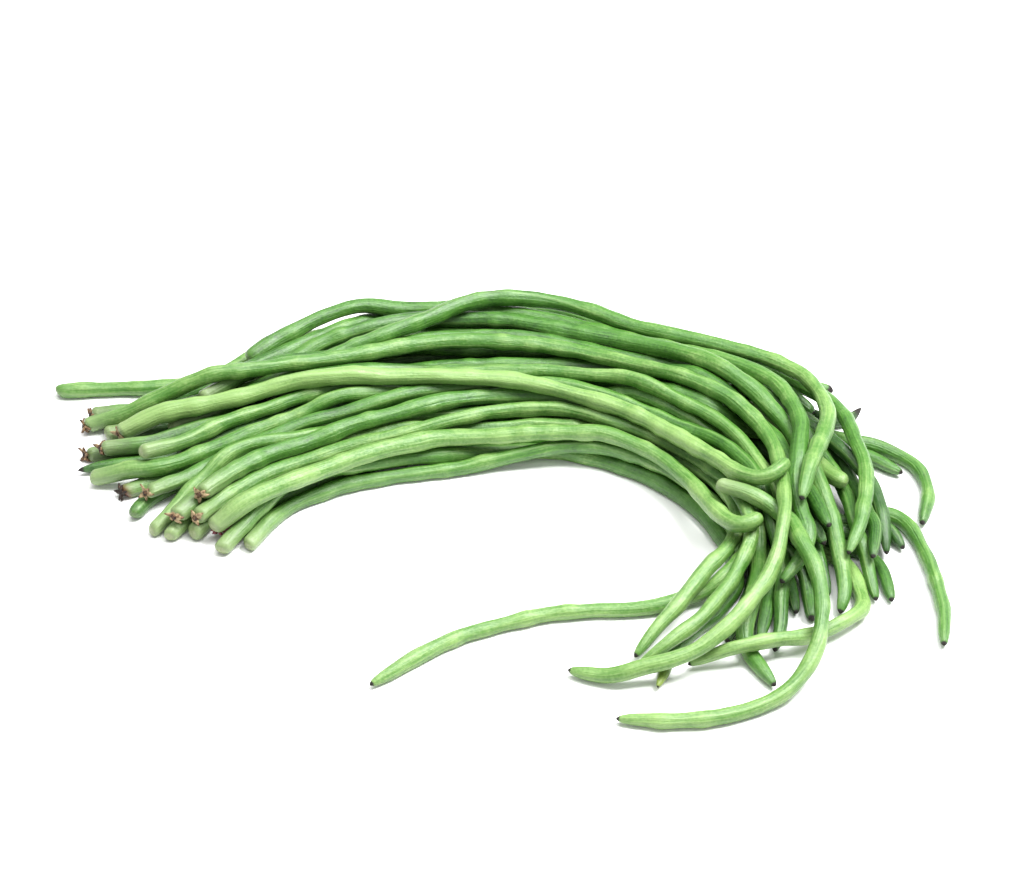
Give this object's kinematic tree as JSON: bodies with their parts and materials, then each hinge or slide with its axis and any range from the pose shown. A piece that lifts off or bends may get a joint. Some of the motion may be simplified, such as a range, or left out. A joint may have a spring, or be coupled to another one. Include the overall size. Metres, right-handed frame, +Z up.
{
  "type": "yardlong bean bunch",
  "caption": "Loose bunch of long, slim green bean pods lying in a hook, with stem ends stacked at one end and tips fanned out at the other.",
  "frame": {"origin": "middle of the bunch's box, on the surface it lies on", "axes": "+X along the length of the bunch, from the stem ends to the bend; +Z up from the surface"},
  "size_m": [0.4466, 0.3161, 0.0449],
  "materials": {
    "pod_green": "fresh green pod skin, faintly waxy"
  },
  "bodies": {
    "root": {"pod_across_top": "pod_green", "pod_back_fourth": "pod_green", "pod_back_second": "pod_green", "pod_back_third": "pod_green", "pod_backward": "pod_green", "pod_brown_calyx": "pod_green", "pod_cluster_low": "pod_green", "pod_cluster_side": "pod_green", "pod_cluster_top": "pod_green", "pod_crosser": "pod_green", "pod_dark_calyx": "pod_green", "pod_front_bright": "pod_green", "pod_front_low": "pod_green", "pod_green_end": "pod_green", "pod_hook": "pod_green", "pod_inner": "pod_green", "pod_long_left": "pod_green", "pod_low_a": "pod_green", "pod_low_b": "pod_green", "pod_low_c": "pod_green", "pod_low_d": "pod_green", "pod_low_e": "pod_green", "pod_mid_a": "pod_green", "pod_mid_b": "pod_green", "pod_mid_c": "pod_green", "pod_mid_d": "pod_green", "pod_pale_pair_left": "pod_green", "pod_pale_pair_right": "pod_green", "pod_pale_top": "pod_green", "pod_red_end": "pod_green", "pod_rust_end": "pod_green", "pod_star_left": "pod_green", "pod_star_right": "pod_green", "pod_steep_pale": "pod_green", "pod_stray": "pod_green"}
  },
  "joints": []
}
